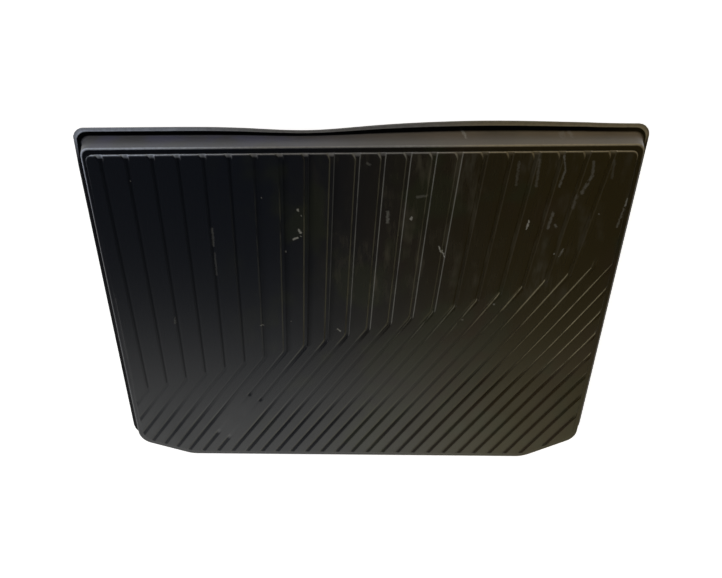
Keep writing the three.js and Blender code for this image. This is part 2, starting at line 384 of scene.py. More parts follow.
def line_runs(plan, grooves, lines, down, split, tangent, total):
    """Distances along each line, with close steps at both ends and round the bend.

    Returns them and the slice of the steps round the bend.
    """
    _, bend, _, number, _, _ = lines
    close = np.array([0, 1.2, 3, 6, 10, 15]) * MM
    enough = 60 * MM
    first = close[None] * np.minimum(1, split / enough)[:, None]
    last = close[None] * np.minimum(1, (total - split) / enough)[:, None]
    last = total[:, None] - last[:, ::-1]
    even = np.linspace(0, 1, EVEN_STEPS + 1)[None, 1:-1]
    above = first[:, -1:] + even * (split - tangent - first[:, -1])[:, None]
    below = (split + tangent)[:, None] + even * (last[:, 0] - split - tangent)[:, None]
    round_bend = np.linspace(-1, 1, BEND_POINTS)[None] * tangent[:, None] + split[:, None]
    below = np.where(near_patch(number)[:, None],
                     patch_steps(plan, grooves, bend, down, split, tangent, last[:, 0]), below)
    first_bend = first.shape[1] + above.shape[1]
    return (np.concatenate([first, above, round_bend, below, last], axis=1),
            slice(first_bend, first_bend + BEND_POINTS))


def panel_grid(plan, section, grooves, lines, inset):
    """Grid of points on the floor whose whole rim lies a distance inside the floor's edge.

    One parameter counts the lines, the other runs along each line from its upper crossing of
    the edge to its lower one. Returns the points, the turns of the rim's points, the share of
    a groove's depth (0 to 1), the share of a mouth's scoop, and the traces of dust with painted
    highlight, painted groove shade, wear with painted highlight, and silt.
    """
    start, bent, upper, total, upright, down, start_turn, end_turn = line_spans(
        plan, section, lines, inset)
    _, bend, _, number, offset, widening = lines
    split = np.maximum(upper, 0.28 * total)
    rounded = bent & (number <= grooves.uprights - 0.99) & (upper >= split)
    tangent = np.where(rounded, grooves.bend_round, 4 * MM)
    tangent = np.minimum(tangent, 0.4 * np.minimum(split, total - split))
    run, round_bend = line_runs(plan, grooves, lines, down, split, tangent, total)
    past_bend = run - upper[:, None]
    points = np.where((past_bend < 0)[..., None],
                      start[:, None] - upright[:, None] * run[..., None],
                      np.where(bent[:, None], bend, start)[:, None]
                      + down[:, None] * past_bend[..., None])
    curve = bezier(bend + upright * tangent[:, None], bend, bend + down * tangent[:, None],
                   BEND_POINTS - 1)
    points[:, round_bend] = np.where(rounded[:, None, None], curve, points[:, round_bend])
    mouth = (1 - np.clip(run / grooves.mouth_length, 0, 1)) ** 1.6
    points[..., 0] += widening[:, None] * mouth

    points, start_turn, end_turn, left_turn, right_turn = close_sides(
        plan, section, inset, points, run / total[:, None], start_turn, end_turn)
    inside = points[1:-1]
    relief = groove_share(plan, grooves, inside, number, upper, past_bend)
    edge = (grooves.width + grooves.wall_run) / 2
    steep = np.nan_to_num(smooth(edge - np.abs(offset), 0, grooves.wall_run))[:, None]
    gentle = np.nan_to_num(smooth(edge + offset, 0, grooves.wall_run)
                           * np.clip((edge - offset) / (0.85 * grooves.width), 0, 1))[:, None]
    slanted = smooth(past_bend, -5 * MM, 20 * MM)
    height = (steep * (1 - slanted) + gentle * slanted) * relief
    scoop = mouth * steep * relief * (number < grooves.uprights - 0.5)[:, None]
    dust_and_highlight, groove_shade, wear_and_highlight = wall_traces(grooves, inside, number, offset, past_bend)
    # Painted highlight along the floor's seat edge, kept in the wear column
    seat_edge = 0.3 * smooth(run, 1.4 * MM, 0.6 * MM)
    traces = (dust_and_highlight * relief, groove_shade * relief, np.maximum(wear_and_highlight * relief, seat_edge),
              silt(inside, number, slanted) * relief)
    height, scoop, *traces = (np.pad(rows, ((1, 1), (0, 0))) for rows in (height, scoop, *traces))
    rim_turn = np.concatenate([start_turn[::-1], left_turn[1:-1], end_turn, right_turn[1:-1]])
    return points, rim_turn, height, scoop, traces


def bell(distance, width, power=2):
    """Bell of height 1 across a line; where there is no line (nan) it is 0."""
    return np.nan_to_num(np.exp(-((distance / width) ** power)))


def silt(points, number, slanted):
    """How far a groove is silted up: the first uprights and the middle band of slanted ones."""
    x, y = points[..., 0], points[..., 1]
    band = slanted * smooth(y, -0.67, -0.55)
    band = band * (1 - smooth(x, 0.10, 0.28) * smooth(-y, 0.46, 0.56))
    first = (1 - smooth(number, 6.0, 9.0))[:, None] * (1 - slanted) * smooth(-y, 0.0, 0.015)
    return 0.92 * (band + first)


def wall_traces(grooves, points, number, offset, past_bend):
    """Shares of dust with painted highlight, painted shade, and wear with painted highlight in the
    grooves, as narrow bells across each groove.

    Pale lines of dust and painted highlight lie on both walls of the upright grooves in the
    middle and along a line in the slanted ones at the right. Painted shade lies along the middle
    of the first uprights, at the right walls of the next ones and at both walls of the last ones,
    and along the same line in the other slanted grooves. That line drifts across its groove by up
    to 10 mm, as the real sheet bulges. Wear and a painted highlight lie on the left walls at the
    mouths at the right.
    """
    half, lean = grooves.width / 2, 0.2 * MM
    across, count = offset[:, None], number[:, None]
    x, y = points[..., 0], points[..., 1]
    upright = past_bend < 0
    left, right = (bell(across + side * half, 0.85 * MM) for side in (1, -1))
    both = np.maximum(*(bell(across + side * (half + lean), 1.5 * MM) for side in (1, -1)))

    middle = smooth(count, 4.0, 9.0) * (1 - smooth(count, 13.6, 15.0))
    middle = middle * np.maximum(smooth(y, -0.05, -0.12), smooth(count, 7.5, 9.0))
    middle = middle * np.maximum(smooth(-past_bend, 0.0, 0.07), smooth(count, 9.0, 11.0))
    near_bend = 1 - smooth(past_bend, 0.0, 0.16)
    pale = smooth(x, 0.02, 0.14) * np.clip(near_bend + smooth(x, 0.26, 0.44) * 0.8, 0, 1)
    pale = pale * smooth(y, -0.56, -0.42)
    drift = 13.7 * np.exp(-((x - 0.1) / 0.5) ** 2 - ((y + 0.515 - 0.3 * x) / 0.2) ** 2) - 4.1
    from_line = across - np.clip(drift * MM - half - lean, -half - lean, half)
    # Pale lines of dust and painted highlight on the groove walls
    dust_and_highlight = np.where(upright, (left + 0.75 * right * smooth(count, 7.0, 9.0)) * middle * 0.8,
                    bell(from_line, 0.75 * MM) * pale * 1.15)

    first = 1 - smooth(count, 5.0, 8.0)
    next_ones = (1 - first) * (1 - smooth(count, 8.0, 11.0))
    last_ones = smooth(count, 13.8, 15.0)
    strength = (0.15 + 0.34 * smooth(-y, 0.52, 0.64)
                + 0.3 * smooth(x, 0.06, 0.25) * smooth(-y, 0.44, 0.55))
    # Painted shade along the groove walls, in place of their own shading
    groove_shade = np.where(upright, 0.55 * bell(across + 0.5 * MM, 2.0 * MM, 4) * first
                     + bell(across - half - lean, 1.7 * MM, 4) * next_ones + both * last_ones,
                     bell(from_line, 1.35 * MM, 4) * np.clip(strength, 0, 0.52) * (1 - pale))

    # Wear and a painted highlight on the left walls at the mouths
    wear_and_highlight = left * smooth(past_bend - past_bend[:, :1], 13 * MM, 8 * MM) * smooth(count, 8.0, 11.0)
    return dust_and_highlight, groove_shade, wear_and_highlight * (count < grooves.uprights - 0.5)


def near_patch(number):
    """The lines on the lands and grooves that the bare patch covers."""
    return (number > 6.4) & (number < 8.6)


def patch_frame(plan, grooves):
    """Middle of the bare patch and the direction of its length, in the plan."""
    middle = np.array([grooves.patch_from_left - plan.seat_width / 2, -grooves.patch_from_seat])
    along = np.array([math.cos(grooves.patch_turn), math.sin(grooves.patch_turn)])
    return middle, along


def patch_steps(plan, grooves, bend, down, split, tangent, last):
    """Eleven distances along each line, with four close ones at both ends of the patch."""
    middle, along = patch_frame(plan, grooves)
    to_end = [(((middle + sign * along * grooves.patch_length / 2) - bend) * along).sum(1)
              / (down * along).sum(1) + split for sign in (1, -1)]
    close = np.array([-9, -3, 3, 9]) * MM
    begin = split + tangent
    return np.concatenate([
        (begin + (to_end[0] - begin) * 0.5)[:, None], to_end[0][:, None] + close,
        ((to_end[0] + to_end[1]) / 2)[:, None], to_end[1][:, None] + close,
        (to_end[1] + (last - to_end[1]) * 0.5)[:, None]], axis=1)


def close_sides(plan, section, inset, points, run, start_turn, end_turn):
    """Adds a first and a last line that lie on the edge, so the grid's rim is the edge."""
    seam = SIDE_COUNT - 1.0
    start_turn = np.where(start_turn < seam, start_turn + SIDE_COUNT, start_turn)
    start_turn = np.where(start_turn > SIDE_COUNT + 3, start_turn - SIDE_COUNT, start_turn)
    seat = (start_turn > SIDE_COUNT + 0.5) & (start_turn < SIDE_COUNT + 1)
    ends = edge_points(plan, section, np.array([0.5, 0.99999]), -inset, 0.0)
    share = (points[:, 0, 0] - ends[0, 0]) / (ends[1, 0] - ends[0, 0])
    start_turn = np.where(seat, SIDE_COUNT + 0.5 + 0.5 * share, start_turn)
    end_turn = np.where(end_turn < 1.4, end_turn + SIDE_COUNT, end_turn) + SIDE_COUNT
    sides = []
    for line, begin, end in ((run[0], start_turn[0], end_turn[0]),
                             (run[-1], start_turn[-1] + SIDE_COUNT, end_turn[-1])):
        sides.append(begin + (end - begin) * (0.12 + 0.76 * line))
    rows = [edge_points(plan, section, side % SIDE_COUNT, -inset, 0.0) for side in sides]
    points = np.concatenate([rows[0][None], points, rows[1][None]])
    start_turn = np.concatenate([sides[0][:1], start_turn, sides[1][:1] - SIDE_COUNT])
    end_turn = np.concatenate([sides[0][-1:], end_turn, sides[1][-1:]])
    return points, start_turn, end_turn, sides[0], sides[1][::-1]


def bezier(start, corner, end, steps):
    """Points of a quadratic curve, or of a whole array of curves, in the last axis but one."""
    t = np.linspace(0, 1, steps + 1)[:, None]
    start, corner, end = (np.array(p, float)[..., None, :] for p in (start, corner, end))
    return (1 - t) ** 2 * start + 2 * t * (1 - t) * corner + t ** 2 * end


def smooth(value, low, high):
    """Smooth step from 0 at low to 1 at high; low may be the larger."""
    t = np.clip((value - low) / (high - low), 0, 1)
    return t * t * (3 - 2 * t)


def groove_share(plan, grooves, points, number, upper, past_bend):
    """Share of the full depth along each line.

    It is 0 on the bare patch, and above the bends of the grooves that are only slanted.
    """
    middle, along = patch_frame(plan, grooves)
    local = points - middle
    past_end = np.abs(local @ along) - grooves.patch_length / 2
    aside = np.abs(cross(np.broadcast_to(along, local.shape), local)) - grooves.patch_width / 2
    outside = smooth(np.maximum(past_end, aside), -5 * MM, 5 * MM)
    starts_inside = (number > grooves.uprights - 0.5) & (upper > 0)
    return outside * np.where(starts_inside[:, None], smooth(past_bend, -4 * MM, 1 * MM), 1.0)


# Section through the wall


def wall_section(plan, section):
    """Section from the floor's edge over the outside to the lip and back along the inside.

    Each row is [outwards, height, share of the lip's reach, wear, film, shade]. The last three
    are how worn an edge is and how bright its painted highlight, how dusty the wall is and how
    much painted light it takes, and how dark the painted shade in a hollow corner is.
    """
    ledge_top = section.height - section.panel_rise
    slope = math.tan(section.wall_draft)

    def outer(z):
        return section.ledge_width + (ledge_top - z) * slope

    def inner(z):
        return outer(z) - section.sheet * math.hypot(1, slope)

    rim = section.panel_edge_round
    foot = section.flange_thickness
    fillet, ledge_round, lip_round = section.flange_fillet, section.ledge_round, section.lip_round
    lip_top = foot - section.flange_fall
    inner_floor = ledge_top - section.sheet
    reach = plan.seat_reach
    bare = (0, 0, 0, 0)
    # The wear peaks at the floor's rim, the ledge's corner and the lip are painted highlights as
    # well as wear; the film on the wall and its fillet is painted light as well as dust; the shade
    # in the ledge and under the flange is painted shade.
    return np.concatenate([
        bezier((-rim, section.height, 0, 0.35, 0, 0), (0, section.height, 0, 1.8, 0, 0),
               (0, section.height - rim, 0, 0.35, 0, 0), 4),
        bezier((0.3 * MM, ledge_top + 0.8 * MM, 0, 0, 0, 0.2), (0.4 * MM, ledge_top, 0, 0, 0, 0.4),
               (1.3 * MM, ledge_top, 0, 0, 0, 0.4), 3),
        [[section.ledge_width - ledge_round - 2.2 * MM, ledge_top, 0, 0, 0, 0.4]],
        bezier((section.ledge_width - ledge_round, ledge_top, 0, 0, 0, 0.2),
               (section.ledge_width, ledge_top, 0, 1.7, 0.4, 0),
               (outer(ledge_top - ledge_round), ledge_top - ledge_round, 0, 0.1, 0.55, 0), 5),
        [[outer(ledge_top * 0.55), ledge_top * 0.55, 0, 0, 0.68, 0]],
        bezier((outer(foot + fillet), foot + fillet, 0, 0, 1.2, 0),
               (outer(foot), foot, 0, 0, 1.6, 0), (outer(foot) + fillet, foot, 0, 0, 0, 1), 5),
        [[reach - section.lip_run - 1.6 * MM, lip_top + 0.2 * MM, 1, 0, 0, 1],
         [reach - section.lip_run - 0.6 * MM, lip_top + 0.1 * MM, 1, 0.9, 0, 0.1]],
        bezier((reach - section.lip_run, lip_top, 1, 1.0, 0, 0), (reach, lip_top, 1, 0.35, 0, 0),
               (reach, lip_top - lip_round, 1, 0.1, 0, 0), 6),
        [[reach - section.flange_fall, 0, 1, 0, 0, 0]],
        bezier((inner(0) + fillet, 0, *bare), (inner(0), 0, *bare),
               (inner(fillet), fillet, *bare), 4),
        bezier((inner(inner_floor - ledge_round), inner_floor - ledge_round, *bare),
               (inner(inner_floor), inner_floor, *bare),
               (inner(inner_floor) - ledge_round, inner_floor, *bare), 4),
        [[-section.sheet / 2, inner_floor, *bare]],
        [[-section.sheet, section.height - section.sheet, *bare]],
    ])


def wall_rings(plan, section, profile, upper_turn, lower_turn, rim_share):
    """Rings of points with their marks along the section, between the rims of both grids."""
    ledge_top = section.height - section.panel_rise
    rings = []
    for k, (out, z, lip_share, *marks) in enumerate(profile[1:-1], start=1):
        turn = upper_turn + (lower_turn - upper_turn) * (k / (len(profile) - 1))
        plan_points = edge_points(plan, section, turn % SIDE_COUNT, out, lip_share)
        heights = np.full(len(turn), z)
        if z > ledge_top and out > -section.panel_edge_round:
            heights = ledge_top + (z - ledge_top) * rim_share
        marks = np.tile([*marks, 0, 0, 0, 0], (len(turn), 1))
        rings.append(np.column_stack([plan_points, heights, marks]))
    return np.stack(rings)


def closed_quads(number, rim, ring_count):
    """Faces of the upper grid, of the rings between the two rims and of the lower grid."""
    ring_index = number.size + np.arange(ring_count * len(rim)).reshape(ring_count, len(rim))
    last = number.size + ring_index.size
    ring_index = np.vstack([rim, ring_index, last + rim])
    around = np.roll(ring_index, -1, axis=1)
    wall = np.stack([ring_index[:-1], ring_index[1:], around[1:], around[:-1]], axis=-1)
    a, b, c, d = number[:-1, :-1], number[1:, :-1], number[1:, 1:], number[:-1, 1:]
    face = np.stack([a, d, c, b], axis=-1)
    back = np.stack([a, b, c, d], axis=-1) + last
    return np.concatenate([quads.reshape(-1, 4) for quads in (face, wall, back)])


def liner_surface(plan, section, grooves):
    """Vertices, quads and marks of wear, dirt and painted light and shade of the whole closed
    liner.

    The upper grid is the grooved underside, the lower grid the ribbed inside. Rings run between
    their rims along the wall's section, and each ring's turns go evenly from the one rim's to
    the other's. Where a groove meets an edge, the rise there shrinks by its depth. The marks
    are columns of wear with painted highlight, film of dust with painted light, painted shade,
    dust with painted highlight, painted groove shade, groove and level, the last being how far a
    silted groove shades as if it were flat. The wear and its painted highlight fade away from the
    seat side, and the other sides take painted shade instead.
    """
    profile = wall_section(plan, section)
    family = kept_lines(plan, section, grooves)
    upper, upper_turn, relief, scoop, traces = panel_grid(
        plan, section, grooves, family, -profile[0, 0])
    lower, lower_turn, ribs, _, _ = panel_grid(plan, section, grooves, family, -profile[-1, 0])
    lines, steps = upper.shape[:2]
    number = np.arange(lines * steps).reshape(lines, steps)
    rim = np.concatenate([number[::-1, 0], number[0, 1:-1], number[:, -1], number[-1, -2:0:-1]])

    depth = grooves.depth * relief + grooves.mouth_scoop * scoop
    base_z = section.height - section.sheet - grooves.rib_height * ribs
    rim_share = 1 - depth.reshape(-1)[rim] / section.panel_rise
    rings = wall_rings(plan, section, profile, upper_turn, lower_turn, rim_share)

    none = np.zeros(lines * steps)
    dust_and_highlight, groove_shade, wear_and_highlight, level = (trace.reshape(-1) for trace in traces)
    # Wear and a painted highlight where the mouths scoop down, stronger at the left
    left_share = 1 - 0.7 * smooth(upper[..., 0], -0.05, 0.1).reshape(-1)
    wear_and_highlight = np.maximum(0.75 * smooth(scoop, 0.35, 0.85).reshape(-1) * left_share, wear_and_highlight)
    upper_set = np.column_stack([upper.reshape(-1, 2), (section.height - depth).reshape(-1), wear_and_highlight,
                                 none, none, dust_and_highlight, groove_shade, relief.reshape(-1), level])
    upper_set[rim, 3] = np.maximum(upper_set[rim, 3], profile[0, 3])
    lower_set = np.column_stack([lower.reshape(-1, 2), base_z.reshape(-1), *[none] * len(MARKS)])
    data = np.concatenate([upper_set, rings.reshape(-1, 3 + len(MARKS)), lower_set])

    points, marks = data[:, :3], data[:, 3:]
    shift = (BOX_LOW + BOX_HIGH) / 2 - (points.min(0) + points.max(0)) / 2
    points[:, :2] += shift[:2]
    out = np.concatenate([none, np.repeat(profile[1:-1, 0], len(rim)), none])
    fade_marks(points, marks, out, slice(lines * steps, -lines * steps), section, shift[1])
    quads = closed_quads(number, rim, len(rings))
    return np.clip(points, BOX_LOW, BOX_HIGH), quads, marks


def fade_marks(points, marks, out, rings, section, seat_y):
    """Fades the wear and its painted highlight away from the seat side and sets the painted shade
    of the rings.

    The fade has its own span for each distance out. The hollow corners of the section take
    painted shade at the seat side, and the floor's edge, the flange and the lip take it at the
    others.
    """
    span = np.interp(out, np.array([0, 11, 22, 37]) * MM, np.array([20, 32, 50, 22]) * MM)
    near_seat = smooth(points[:, 1] - 0.75 * out, seat_y - span, seat_y - 4 * MM)
    x = points[:, 0]
    marks[:, 0] *= near_seat * (1 - 0.6 * (out > 25 * MM) * smooth(x, -0.49, -0.52))
    x, out, near_seat, shade = x[rings], out[rings], near_seat[rings], marks[rings, 2]
    away = 0.6 * (1 - near_seat) * ((out > section.ledge_width) | (out < 1 * MM))
    left_corner = 0.85 * smooth(x, -0.51, -0.53) * (out > 30 * MM)
    marks[rings, 2] = np.maximum(shade * near_seat + away, left_corner)


def new_piece(name, points, quads, material):
    """Puts arrays of points and four-cornered faces into a new object at the origin."""
    mesh = bpy.data.meshes.new(name)
    mesh.vertices.add(len(points))
    mesh.vertices.foreach_set("co", np.ascontiguousarray(points, np.float32).ravel())
    mesh.loops.add(quads.size)
    mesh.loops.foreach_set("vertex_index", quads.astype(np.int32).ravel())
    mesh.polygons.add(len(quads))
    mesh.polygons.foreach_set("loop_start", np.arange(0, quads.size, 4, dtype=np.int32))
    mesh.polygons.foreach_set("use_smooth", np.ones(len(quads), bool))
    mesh.update(calc_edges=True)
    mesh.materials.append(material)
    piece = bpy.data.objects.new(name, mesh)
    bpy.context.scene.collection.objects.link(piece)
    return piece


def add_attribute(piece, name, values):
    layer = piece.data.attributes.new(name, "FLOAT", "POINT")
    layer.data.foreach_set("value", np.ascontiguousarray(values, np.float32))


# Shader maths


def rgba(values):
    return (*values[:3], 1.0)


class Signal:
    """A socket in a node tree; arithmetic on it adds Math nodes."""

    def __init__(self, nodes, socket):
        self.nodes = nodes
        self.socket = socket

    def maths(self, operation, *values):
        return self.nodes.add("ShaderNodeMath", {"operation": operation}, dict(enumerate(values)))

    def __add__(self, other):
        return self.maths("ADD", self, other)

    def __rsub__(self, other):
        return self.maths("SUBTRACT", other, self)

    def __mul__(self, other):
        return self.maths("MULTIPLY", self, other)

    __radd__ = __add__
    __rmul__ = __mul__

    def most(self, other):
        return self.maths("MAXIMUM", self, other)

    def least(self, other):
        return self.maths("MINIMUM", self, other)

    def step(self, low, high):
        """Smooth step from 0 at low to 1 at high; low may be the larger."""
        return self.nodes.add("ShaderNodeMapRange", {"interpolation_type": "SMOOTHSTEP"},
                              {0: self, 1: low, 2: high, 3: 0.0, 4: 1.0})


class Nodes:
    """The nodes of one material or world."""

    def __init__(self, owner):
        owner.use_nodes = True
        self.tree = owner.node_tree
        self.tree.nodes.clear()

    def add(self, kind, settings=None, sockets=None, out=0):
        node = self.tree.nodes.new(kind)
        for name, value in (settings or {}).items():
            setattr(node, name, value)
        for key, value in (sockets or {}).items():
            socket = node.inputs[key]
            if isinstance(value, Signal):
                self.tree.links.new(value.socket, socket)
            else:
                socket.default_value = value
        return Signal(self, node.outputs[out]) if node.outputs else node

    def noise(self, place, scale, detail=2.0, roughness=0.5):
        return self.add("ShaderNodeTexNoise", None, {
            "Vector": place, "Scale": scale, "Detail": detail, "Roughness": roughness})

    def mix(self, factor, *colours):
        """Mix of two colours, each a signal or plain values."""
        first, second = (c if isinstance(c, Signal) else rgba(c) for c in colours)
        return self.add("ShaderNodeMix", {"data_type": "RGBA"},
                        {0: factor, 6: first, 7: second}, 2)

    def parts(self, place):
        return [self.add("ShaderNodeSeparateXYZ", None, {0: place}, axis) for axis in range(3)]

    def attribute(self, name):
        return self.add("ShaderNodeAttribute", {"attribute_name": name}, out="Fac")

    def stretched(self, place, factors, scale, detail=2.0, roughness=0.5):
        """Noise drawn out along an axis whose factor is small."""
        return self.noise(self.vector("MULTIPLY", place, factors), scale, detail, roughness)

    def vector(self, operation, first, second=None, out=0):
        sockets = {0: first}
        if second is not None:
            sockets[3 if operation == "SCALE" else 1] = second
        return self.add("ShaderNodeVectorMath", {"operation": operation}, sockets, out)


# Pale nicks on the underside: x and y of both ends and half width in millimetres, strength
NICKS = [
    (-108, 265, -107, 261, 1.6, 0.55), (-102, 252, -102, 252, 1.3, 0.5),
    (-108, 222, -105, 216, 2.2, 0.6), (-119, 203, -112, 206, 2.1, 0.65),
    (-105, 209, -105, 209, 1.6, 0.6), (-173, 288, -173, 288, 1.2, 0.6),
    (-409, 323, -409, 323, 1.2, 0.6), (-136, 178, -136, 176, 1.6, 0.35),
    (-201, 4, -195, 4, 1.3, 0.45), (-39, -7, -34, -13, 1.5, 0.5),
    (-499, -31, -499, -31, 2.4, 0.3), (-136, 13, -136, 13, 1.4, 0.25),
    (161, 185, 166, 173, 1.4, 0.7), (168, 175, 174, 161, 1.4, 0.6),
    (327, 221, 330, 238, 1.5, 0.6), (368, 222, 373, 253, 2.6, 0.16),
    (383, 224, 381, 228, 2.2, 0.2), (508, 280, 506, 266, 1.7, 0.4),
    (505, 260, 500, 223, 1.6, 0.16), (400, 161, 405, 176, 1.8, 0.3),
    (389, 165, 389, 165, 1.6, 0.6), (460, 250, 460, 250, 1.3, 0.6),
    (105, 243, 106, 247, 1.8, 0.55), (283, 50, 283, 50, 2, 0.35), (221, 13, 221, 13, 1.9, 0.35),
    (61, 258, 61, 237, 3, 0.22), (115, 287, 133, 290, 2.6, 0.12), (22, 353, 27, 350, 2.2, 0.12),
    (-273, 226, -275, 190, 2.3, 0.14), (-275, 173, -277, 126, 2, 0.1),
    (-376, 25, -378, 10, 1.4, 0.15), (376, 363, 382, 337, 1.5, 0.16),
    (382, 337, 376, 305, 1.9, 0.16), (431, 352, 433, 325, 2.6, 0.12),
    (433, 325, 420, 293, 3.2, 0.15), (468, 355, 470, 321, 2.2, 0.06),
    (412, 287, 409, 263, 3, 0.08), (333, 356, 333, 307, 2.6, 0.1),
    (296, 353, 296, 309, 2.4, 0.08), (193, 401, 201, 392, 2.2, 0.3), (375, 392, 379, 394, 4, 0.1),
    (391, 396, 393, 393, 3.6, 0.12),
]


def nick_mask(nodes, place):
    """Strength of the strongest nick: a ragged soft-edged capsule round each short line."""
    rough = nodes.add("ShaderNodeTexNoise", None, {"Vector": place, "Scale": 220.0}, 1)
    rough = nodes.vector("MULTIPLY", nodes.vector("SUBTRACT", rough, (0.5, 0.5, 0.5)),
                         (6.0, 6.0, 0.0))
    flat = nodes.vector("MULTIPLY", place, (NICK_UNIT, NICK_UNIT, 0.0))
    flat = nodes.vector("ADD", flat, rough)
    mask = None
    for x0, y0, x1, y1, half_width, strength in NICKS:
        arm = nodes.vector("SUBTRACT", flat, (x0, y0, 0.0))
        step = (x1 - x0, y1 - y0, 0.0)
        square = step[0] ** 2 + step[1] ** 2
        if square > 0:
            share = nodes.vector("DOT_PRODUCT", arm, step, 1) * (1 / square)
            foot = nodes.vector("SCALE", step, share.least(1.0).most(0.0))
            arm = nodes.vector("SUBTRACT", arm, foot)
        distance = nodes.vector("LENGTH", arm, out=1)
        nick = distance.step(half_width * 1.5, half_width * 0.3) * strength
        mask = nick if mask is None else mask.most(nick)
    return mask


def dirt_and_light_colour(nodes, look, place, marks, outside, fine):
    """Colour of the rubber under its dirt and painted light, laid on from the bottom up.

    Soil darkens to brown at the right, patches tint it, haze fills the grooves at the right, dust
    and a painted highlight lie in lines, a film of dust with painted light covers the wall, edges
    are worn pale and carry a painted highlight, and nicks come last. The steps along x and y are
    places on the liner in metres.
    """
    wear_and_highlight, film_and_light, _, dust_and_highlight, _, groove, _ = marks
    x, y, _ = nodes.parts(place)
    cloud = nodes.noise(place, 9.0, 3.0, 0.6)
    streak = nodes.stretched(place, (1.0, 0.2, 1.0), 55.0, 3.0, 0.6)
    right = x.step(-0.22, 0.42)
    base = nodes.mix(right, look.black, look.soil)
    base = nodes.mix(nodes.noise(place, 6.0).step(0.5, 0.72) * right * 0.45, base, look.tint)
    olive = nodes.noise(place, 11.0).step(0.5, 0.66) * x.step(-0.32, -0.05)
    base = nodes.mix(olive * 0.5, base, look.olive)
    smudge = streak.step(0.45, 0.72) * cloud.step(0.4, 0.62) * x.step(-0.12, 0.05)
    smudge = smudge * y.step(0.02, 0.12) * outside
    base = nodes.mix(smudge * 0.8, base, look.haze)
    filled = groove * streak.step(0.42, 0.6) * x.step(0.10, 0.22) * y.step(0.06, 0.2)
    filling = nodes.mix(right * 0.5, look.haze, look.soil)
    base = nodes.mix(filled * 0.7, base, filling)
    pale = nodes.mix(x.step(0.15, 0.35), look.dust_and_highlight, look.dust_and_highlight_right)
    base = nodes.mix(dust_and_highlight * streak.step(0.25, 0.5) * 0.85, base, pale)
    # Dust film on the wall with painted light in it, cool at the left and warm at the right
    wall = nodes.mix(x.step(-0.3, 0.45), look.lit_wall_left, look.lit_wall_right)
    bloom = nodes.noise(place, 16.0).step(0.45, 0.65) * x.step(0.05, -0.25)
    wall = nodes.mix(bloom * 0.7, wall, look.bloom)
    base = nodes.mix(film_and_light * (0.1 + 1.5 * cloud), base, wall)
    # Worn edges with a painted highlight, bluish at the left and cream at the right
    worn_and_lit = nodes.mix(x.step(-0.43, -0.12), look.wear_and_highlight_left, look.wear_and_highlight_middle)
    worn_and_lit = nodes.mix(x.step(0.08, 0.30), worn_and_lit, look.wear_and_highlight_right)
    base = nodes.mix(wear_and_highlight * (0.45 + 0.7 * fine), base, worn_and_lit)
    nick = nick_mask(nodes, place) * outside * fine.step(0.25, 0.5)
    return nodes.mix(nick, base, look.chip)


def rubber(look):
    """Black moulded rubber with a fine grain under its dirt and painted light.

    Silted grooves take a level normal. Painted shade in hollow corners and along the grooves is a
    second, matt shader.
    """
    material = bpy.data.materials.new("moulded_black_rubber")
    nodes = Nodes(material)
    place = nodes.add("ShaderNodeTexCoord", out="Object")
    x, y, z = nodes.parts(place)
    outside = z.step(0.0432, 0.0442).most(y.step(0.387, 0.389))
    marks = [nodes.attribute(name) for name in MARKS]
    wear_and_highlight, film_and_light, shade, _, groove_shade, _, level = marks
    fine = nodes.noise(place, 160.0, 3.0, 0.6)
    base = dirt_and_light_colour(nodes, look, place, marks, outside, fine)

    swell = nodes.stretched(place, (1.0, 0.5, 1.0), 9.0)
    height = swell * 3.0 + nodes.noise(place, 900.0, 2.0, 0.6) * 0.04
    bump = nodes.add("ShaderNodeBump", None,
                     {"Strength": 0.5, "Distance": 0.001, "Height": height})
    normal = nodes.add("ShaderNodeMix", {"data_type": "VECTOR"},
                       {0: level, 4: bump, 5: (0.0, 0.0, 1.0)}, 1)
    glossy = nodes.add("ShaderNodeBsdfPrincipled", None, {
        "Base Color": base, "Roughness": look.roughness + wear_and_highlight * 0.3 + film_and_light * 0.3,
        "Normal": normal})
    # Colour of the matt shader for painted shade: near black, brown at the right, and the floor's
    # own colour at the right near the seat side, where it only dulls the groove walls' reflections
    painted_shade = nodes.mix(x.step(0.42, 0.52), look.painted_shade, look.painted_shade_right)
    soft = x.step(0.12, 0.2) * y.step(-0.03, 0.03) * (1 - shade)
    matt = nodes.add("ShaderNodeBsdfPrincipled", None, {
        "Base Color": nodes.mix(soft, painted_shade, nodes.mix(0.2, base, look.haze)),
        "Roughness": 1.0, "Specular IOR Level": 0.0})
    # Painted shade of hollow corners and painted shade along the grooves mix in the matt shader
    mixed = nodes.add("ShaderNodeMixShader", None, {
        0: (shade * 0.96).most(groove_shade * 0.86), 1: glossy, 2: matt})
    nodes.add("ShaderNodeOutputMaterial", None, {"Surface": mixed})
    return material


def floor_finish(stage):
    """Pale floor, white to the eye and in reflections, that keeps part of the shadow."""
    material = bpy.data.materials.new("pale_floor")
    nodes = Nodes(material)
    path = nodes.add("ShaderNodeLightPath", out="Is Camera Ray")
    glossy = Signal(nodes, path.socket.node.outputs["Is Glossy Ray"])
    clear = Signal(nodes, path.socket.node.outputs["Is Transmission Ray"])
    seen = path.most(glossy).most(clear)
    diffuse = nodes.add("ShaderNodeBsdfDiffuse", None, {"Color": rgba(stage.floor)})
    white = nodes.add("ShaderNodeEmission", None, {"Color": (1, 1, 1, 1), "Strength": 0.8})
    both = nodes.add("ShaderNodeAddShader", None, {0: diffuse, 1: white})
    mixed = nodes.add("ShaderNodeMixShader", None, {0: seen, 1: diffuse, 2: both})
    nodes.add("ShaderNodeOutputMaterial", None, {"Surface": mixed})
    return material


